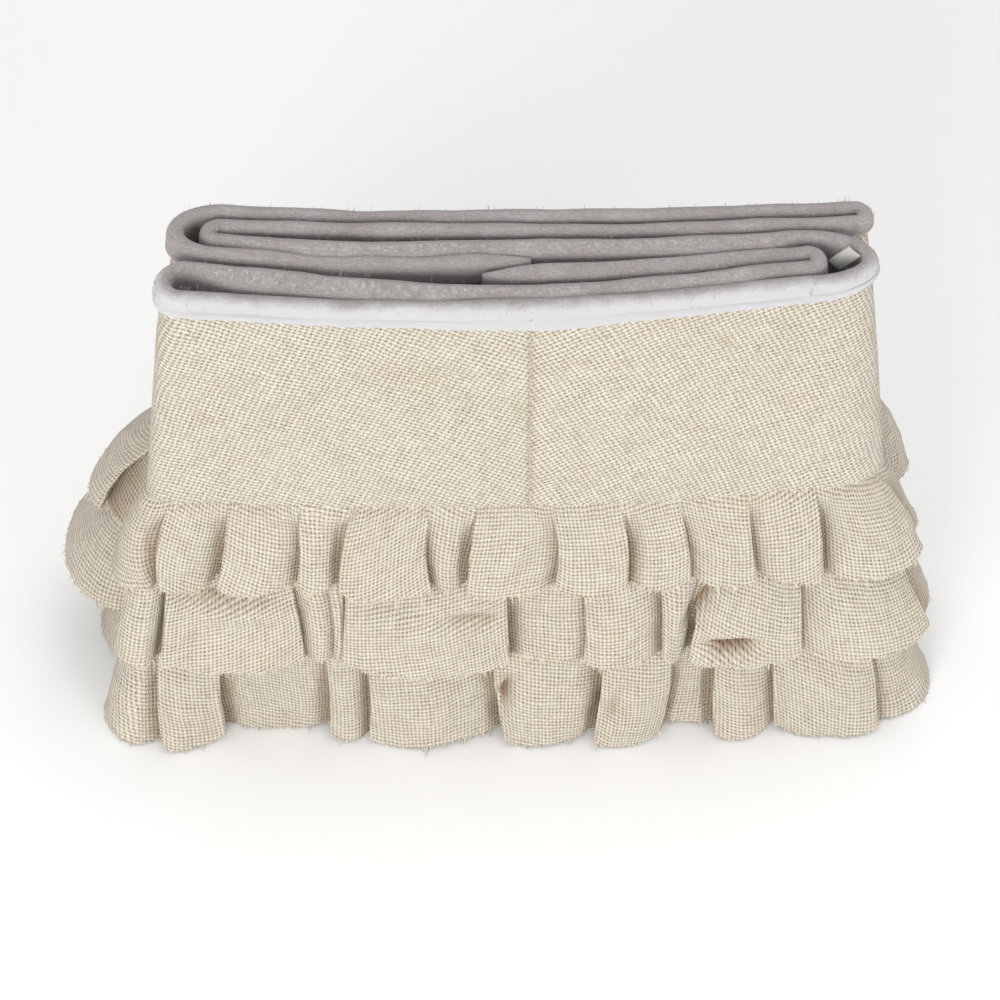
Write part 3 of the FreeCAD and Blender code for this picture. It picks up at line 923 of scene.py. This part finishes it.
def ruffle_grid(tier, rng):
    """The tier's middle surface: how far down each row is, then length along the ring, distance
    from the burlap, how much the hem is drawn up, how much painted shade it gets beside a crease,
    and how its grain leans."""
    hem, top, deep, shallow, lift, stepped = TIERS[tier]
    creases = pleats_for(tier, rng)
    v = np.linspace(0, 1, ROWS)
    fall = v ** 0.85
    near, far = [], []
    for at, at_hem, side, lap, belly in creases:
        room = float(ring.room(at))
        depth = shallow + (deep - shallow) * room
        step = min((1.2 + 0.36 * lap) * stepped * (0.55 + 0.45 * room), depth - lift - 0.6)
        centre = (lift + depth) / 2 + float(ring.flare(at, tier)) + rng.uniform(-0.8, 0.8) * room
        centre = 0.4 + (centre - 0.4) * fall
        half = 0.05 + (step / 2 - 0.05) * ease(v * 2.2)
        near.append(centre - half)
        far.append(centre + half)
    controls, counts = [], []
    bow = rng.uniform(-2.6, 2.6, len(creases))
    bow[0] = bow[-1] = 0
    lean = rng.uniform(-0.5, 0.5, len(creases))

    def put(along, out, rise, shade, count):
        skew = (along - (lines[0] + lines[1]) / 2) * lean[k]
        controls.append(np.stack([along, out, rise + 0 * v, shade * ease(v * 1.5), skew], axis=-1))
        counts.append(count)

    for k in range(len(creases) - 1):
        # Its two ends: the crease's line, how much it laps, how far out, how much it is drawn up,
        # and, where it lies underneath, how far it is tucked in and how much painted shade it gets
        lines, ends = [], []
        for n, way in ((k, 1), (k + 1, -1)):
            at, at_hem, side, lap = creases[n][:4]
            lines.append(at + (at_hem - at) * v + bow[n] * np.sin(pi * v))
            out, rise = (far[n], CORNER[tier]) if side * way > 0 else (near[n], 0.4)
            under = side * way < 0
            tuck = TUCK * min(1, lap / 6) * ease(v * 1.6) * under
            ends.append((lap * (1 - 0.62 * v) / 2, out, rise, tuck, min(1, lap / 7) * under))
        (lap_a, out_a, rise_a, tuck_a, shade_a), (lap_b, out_b, rise_b, tuck_b, shade_b) = ends
        begin, end = lines[0] - lap_a, lines[1] + lap_b
        width = end - begin
        inset_a = np.minimum(LIP + shade_a * 2 * lap_a, width * 0.36)
        inset_b = np.minimum(LIP + shade_b * 2 * lap_b, width * 0.36)
        put(begin, out_a - 0.3 * fall - tuck_a, rise_a, shade_a, 4)
        put(begin + inset_a, out_a + 0.2 - tuck_a * 0.8, rise_a * 0.45, shade_a, 3)
        belly = creases[k][4] * np.sin(pi * v ** 0.9) + (1.5 + 0.035 * width[0]) * fall
        mids = max(3, int(round(width[0] / 8)))
        for m in range(mids):
            f = (m + 0.7) / (mids + 0.4)
            out = out_a + (out_b - out_a) * f + sin(pi * f) ** 0.8 * belly
            put(begin + inset_a + (width - inset_a - inset_b) * f, out, 0.0, 0.0,
                max(3, int(round(width[0] / mids / 2.0))))
        put(end - inset_b, out_b + 0.2 - tuck_b * 0.8, rise_b * 0.45, shade_b, 3)
        put(end, out_b - 0.3 * fall - tuck_b, rise_b, shade_b, 4)
    # A quadratic B-spline through the controls
    made = []
    before = controls[0]
    for i in range(1, len(controls) - 1):
        after = controls[-1] if i == len(controls) - 2 else (controls[i] + controls[i + 1]) / 2
        for step in range(counts[i]):
            t = step / counts[i]
            made.append((1 - t) ** 2 * before + 2 * t * (1 - t) * controls[i] + t * t * after)
        before = after
    made.append(controls[-1])
    return (v[:, None], *np.moveaxis(np.stack(made, axis=1), 2, 0))


def fray(cloth, surface, cloth_u, first, last, tier, rng):
    """Loose yarn ends along the raw hem, between two columns."""
    next_yarn = cloth_u[first]
    for c in range(first, last):
        while cloth_u[c] <= next_yarn < cloth_u[c + 1]:
            base = surface[-1, c] + (surface[-1, c + 1] - surface[-1, c]) * rng.random()
            way = surface[-1, c] - surface[-3, c]
            way = way / norm(way) + rng.normal(0, 0.33, 3)
            length = 1.1 + rng.exponential(0.8)
            if rng.random() < 0.03:
                length += rng.uniform(2, 5)
            tip = base + way * length
            if tier == 3:
                tip[2] = max(tip[2], FRAY_HEIGHT)
                tip[:2] += way[:2] * 0.5
            if norm(tip - base) > 0.3:
                thin_yarn(cloth, base, tip, rng.uniform(0.3, 0.5), rng)
            next_yarn += rng.uniform(0.7, 1.7)


def make_ruffle(tier):
    rng = np.random.default_rng(40 + tier)
    fall, along, out, rise, tucked, skew = ruffle_grid(tier, rng)
    crease_wave, crumple, hem_wave = Waves(rng, 34, 13), Waves(rng, 14, 6), Waves(rng, 70, 22)
    gathers, grain = Waves(rng, 9, 4), Waves(rng, 150, 60)
    hem, top = TIERS[tier][:2]
    height = top - hem
    down = height * fall
    steps = np.diff(ring.at(along, top - down, BURLAP_OUT + out)[ROWS // 3:], axis=1)
    cloth_u = np.concatenate([[0], np.cumsum(norm(steps, axis=2).mean(axis=0))])
    u = cloth_u[None, :]
    out = out + fall ** 0.7 * (crease_wave(u, down) + 0.36 * crumple(u, down))
    where = ring.at(along, top - down, BURLAP_OUT + out)
    low_u, high_u = ring.u[list(ring.front_face)]
    on_front = (along > low_u) & (along < high_u)
    for number, x, level, wide, tall, deep, slant in DENTS:
        if number == tier:
            dx = where[:, :, 0] - x - slant * (where[:, :, 2] - level)
            push = np.exp(-(dx / wide) ** 2 - ((where[:, :, 2] - level) / tall) ** 2)
            out = out + np.where(on_front, deep * push, 0)
    # Small gathers just under the seam, and the strip's top edge sunk in the cloth behind
    out = out + 0.55 * (1 + gathers(u, down * 0.2)) * np.exp(-((down - 3.5) / 4.0) ** 2)
    out = np.maximum(out - 0.75 * (1 - ease(fall * 8)), -0.15 + 0.75 * ease(fall * 5))
    # Painted shade: darker where it lies deeper than the cloth on either side
    near_rows = np.stack([np.roll(out, k, axis=0) for k in range(-2, 3)]).mean(axis=0)
    pad = np.pad(near_rows, ((0, 0), (5, 5)), mode="edge")
    around = np.stack([pad[:, k:k + out.shape[1]] for k in range(11)]).mean(axis=0)
    hollow_shade = np.clip((around - out - 0.35) / 3.2, 0, 1) * ease(fall * 6)
    # Painted shade beside the creases, on the side that lies underneath
    hollow_shade = np.maximum(hollow_shade, 0.66 * tucked)
    lift = 1.6 * (1 + hem_wave(u, 0 * u)) * (1.0 if tier == 3 else 0.8)
    z = top - (height - np.maximum(lift, 0.0) - rise) * fall
    if tier == 3:
        z = np.maximum(z, REST_HEIGHT)
    surface = ring.at(along, z, BURLAP_OUT + out)
    surface[:, :, 1] -= BACK_PRESS * np.maximum(surface[:, :, 1] - BACK_ROOM, 0)
    thick = RUFFLE_THICK / 2 * (0.45 + 0.55 * ease(fall * 5))[:, :, None]
    half = grid_normals(surface) * thick
    outer, inner = surface - half, surface + half
    uv = flat_uv(u + 3.0 * grain(down * 1.3, u * 0.8) * fall,
                 skew - down + 4.0 * grain(u, down * 0.6))
    middle = along[ROWS // 2]
    cuts = [int(np.argmin(abs(middle - ring.u[ring.cut[run][0]]))) for run in ring.names]
    cuts = [0] + cuts[1:] + [len(middle) - 1]
    for run, first, last in zip(ring.names, cuts, cuts[1:]):
        part = slice(first, last + 1)
        cloth = Cloth()
        cloth.shell(outer[:, part], inner[:, part], uv[:, part])
        fray(cloth, surface, cloth_u, first, last, tier, rng)
        node = "ruffle_%d_%s" % (tier, run)
        obj = cloth.make("gathered_" + node, [RUFFLE_CLOTH, YARN], crisp=60,
                         hollow_shade=hollow_shade[:, part])
        attach(obj, run, node)


# -------- stitches, closure and label

# A stitch's rings: how far along it, and how thick
STITCH_SHAPE = ((-0.5, 0.25), (-0.38, 0.85), (0.0, 1.0), (0.38, 0.85), (0.5, 0.25))


def stitch_row(cloth, centres, directions, length, thick, slot):
    """Short rounded stitches. Each lies along its direction, half sunk in the cloth."""
    for centre, way in zip(centres, directions):
        way = way / norm(way)
        side = np.cross(way, (0.13, 0.9, 0.4))
        side /= norm(side)
        rings = [(centre + way * f * length, thick / 2 * r) for f, r in STITCH_SHAPE]
        rod(cloth, rings, side, np.cross(side, way), 6, (0.3, length / 4), slot)


def make_seams(seams):
    """The thread of the two joins between panels, and the small tack on the band above each."""
    for run, u in seams.items():
        cloth = Cloth()
        z = np.arange(SEAM_HEIGHT + 5, HEIGHT - BAND_DEPTH - 3, 4.2)
        rng = np.random.default_rng(5)
        centres = ring.at(u + rng.normal(0, 0.12, len(z)), z, BURLAP_OUT + 0.22)
        ways = np.stack([rng.normal(0, 0.05, len(z)), 0 * z, 0 * z + 1], axis=1)
        stitch_row(cloth, centres, ways, 2.7, 0.55, 0)
        tack = ring.at(u + np.zeros(1), HEIGHT - 8.5, FLAP_OUT)
        stitch_row(cloth, tack, [(1, 0, 0.3)], 1.8, 1.0, 0)
        obj = cloth.make("seam_stitches_" + run, [THREAD])
        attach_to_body(obj, BODY[run])
        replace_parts(obj, "seam_thread_" + run)


# The closure's tapes: how thick they are, and how rough their nap is
TAPE_THICK, TAPE_NAP = 0.9, 0.12


def make_closure():
    """The lap's fastening: two flat strips, with a line of stitches down each side."""
    for kind, run, inner in (("loop", "left_end", BURLAP_OUT + 0.15),
                             ("hook", "right_end", FELT_IN - 1.25)):
        low, high = span_of("closure_%s_strip" % kind)
        first, last = sorted((ring.find(run, LAP_RIGHT_END[0] + 2),
                              ring.find(run, LAP_LEFT_END[0] - 2)))
        u = np.linspace(first, last, 12)[None, :]
        z = np.linspace(high, low, 40)[:, None]
        nap = TAPE_NAP * np.random.default_rng(77).random((40, 12))
        cloth = Cloth()
        cloth.shell(ring.at(u, z, inner + TAPE_THICK + nap), ring.at(u, z, inner + 0 * nap),
                    flat_uv(u, z))
        for edge in (first + 1.2, last - 1.2):
            zs = np.arange(low + 3, high - 3, 3.6)
            centres = ring.at(edge + 0 * zs, zs, inner + TAPE_THICK + 0.1)
            stitch_row(cloth, centres, [(0, 0, 1)] * len(zs), 2.4, 0.4, 1)
        obj = cloth.make("closure_%s_tape" % kind, [TAPE, THREAD])
        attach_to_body(obj, BODY[run])
        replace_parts(obj, "closure_%s_strip" % kind)


# The tag's width, the height of its two legs, half the gap between them, and half its thickness
TAG_WIDTH, TAG_TALL, TAG_BEND, TAG_HALF = 6.4, 13.0, 0.55, 0.17
# How far it leans to the right and turns, and where it stands beside the CAD's tag
TAG_LEAN, TAG_SPIN, TAG_SHIFT = radians(35), radians(-20), (0, 1, 3)


def make_label():
    """A small blank tag: a ribbed tape folded double, its fold standing up."""
    low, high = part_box("care_label")
    centre = np.array((low + high) / 2) / MM
    across = np.linspace(-TAG_WIDTH / 2, TAG_WIDTH / 2, 9)
    leg = TAG_TALL / 2
    path = []
    for f in np.linspace(0, 1, 36):
        if 0.42 <= f <= 0.58:
            a = pi * (1 - (f - 0.42) / 0.16)
            path.append((TAG_BEND * cos(a), leg - 0.78 + 0.78 * sin(a)))
        else:
            side = -TAG_BEND if f < 0.42 else TAG_BEND
            path.append((side, -leg + min(f, 1 - f) / 0.42 * TAG_TALL * 0.94))
    out, up = np.array(path).T[:, :, None]
    wave = 0.05 * np.sin(up * 2 * pi / 1.3) + 0.02 * across ** 2
    grid = np.stack(np.broadcast_arrays(across, out + wave, up), axis=-1)
    c, s = cos(TAG_LEAN), sin(TAG_LEAN)
    grid = grid @ np.array([[c, 0, s], [0, 1, 0], [-s, 0, c]]).T
    c, s = cos(TAG_SPIN), sin(TAG_SPIN)
    grid = grid @ np.array([[c, -s, 0], [s, c, 0], [0, 0, 1]]).T + centre + TAG_SHIFT
    n = grid_normals(grid)
    cloth = Cloth()
    cloth.shell(grid + n * TAG_HALF, grid - n * TAG_HALF,
                flat_uv(across, np.linspace(0, TAG_TALL * 2, len(path))[:, None]))
    obj = cloth.make("blank_label", [LABEL])
    bend(obj, *BENDS["right_outer_turn"])
    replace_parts(obj, "care_label")


# -------- floor, light and camera

# Name, place, size, power and colour of each light, and the point they all aim at
LIGHTS = (("key", (-0.9, -2.2, 1.0), 1.2, 36, (1.0, 0.985, 0.97)),
          ("fill", (1.5, -1.9, 0.8), 1.4, 18, (0.99, 0.99, 1.0)),
          ("top", (0.3, 0.3, 2.2), 1.6, 13, (1.0, 1.0, 1.0)))
LIT_POINT = Vector((0, 0, 0.14))
SKY, SKY_STRENGTH = (1.0, 1.0, 1.0, 1), 0.6
# The floor's half width, and how far it lies below the hem, so that the two don't share a plane
FLOOR_REACH, FLOOR_DROP = 6, 0.0005
# The camera looks down by this angle, from this far off the roll's top edge, and sees that edge
# this far above the middle of its picture
CAMERA_TILT, CAMERA_AWAY, EDGE_ABOVE = radians(51.1), 1.2, 0.0833
# x of the picture's middle, the lens, and the nearest and farthest that the camera sees
CAMERA_X, LENS, CLIP = -0.0076, 103.9, (0.05, 50)


def turn_to(obj, way):
    obj.rotation_mode = "QUATERNION"
    obj.rotation_quaternion = way.to_track_quat("-Z", "Y")


def make_studio():
    scene = bpy.context.scene
    floor = bpy.data.meshes.new("floor")
    r = FLOOR_REACH
    floor.from_pydata([(-r, -r, 0), (r, -r, 0), (r, r, 0), (-r, r, 0)], [], [(0, 1, 2, 3)])
    floor.materials.append(FLOOR)
    obj = place("floor", floor)
    obj.location.z = -FLOOR_DROP
    world = bpy.data.worlds.new("studio")
    world.use_nodes = True
    sky = world.node_tree.nodes["Background"].inputs
    sky[0].default_value, sky[1].default_value = SKY, SKY_STRENGTH
    scene.world = world
    for name, where, size, power, colour in LIGHTS:
        light = bpy.data.lights.new(name, "AREA")
        light.size, light.energy, light.color = size, power, colour
        lamp = place(name, light)
        lamp.location = where
        turn_to(lamp, LIT_POINT - Vector(where))
    scene.view_settings.view_transform = "Standard"


def make_camera():
    """Looks down on the front at the studio's angle, from a long way off."""
    low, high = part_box("lining_front")
    roll = ring.at(ring.find("front", 0.0), HEIGHT, ROLL_MIDDLE)
    edge = Vector((CAMERA_X, roll[1] * MM, high.z))
    view = Vector((0, cos(CAMERA_TILT), -sin(CAMERA_TILT)))
    up = Vector((0, sin(CAMERA_TILT), cos(CAMERA_TILT)))
    data = bpy.data.cameras.new("camera")
    data.lens, data.sensor_width = LENS, 36.0
    data.clip_start, data.clip_end = CLIP
    camera = place("camera", data)
    camera.location = edge - up * EDGE_ABOVE - view * CAMERA_AWAY
    turn_to(camera, view)
    bpy.context.scene.camera = camera


make_studio()
make_camera()
make_lining()
seam_places = make_panels()
for number in TIERS:
    make_ruffle(number)
make_seams(seam_places)
make_closure()
make_label()
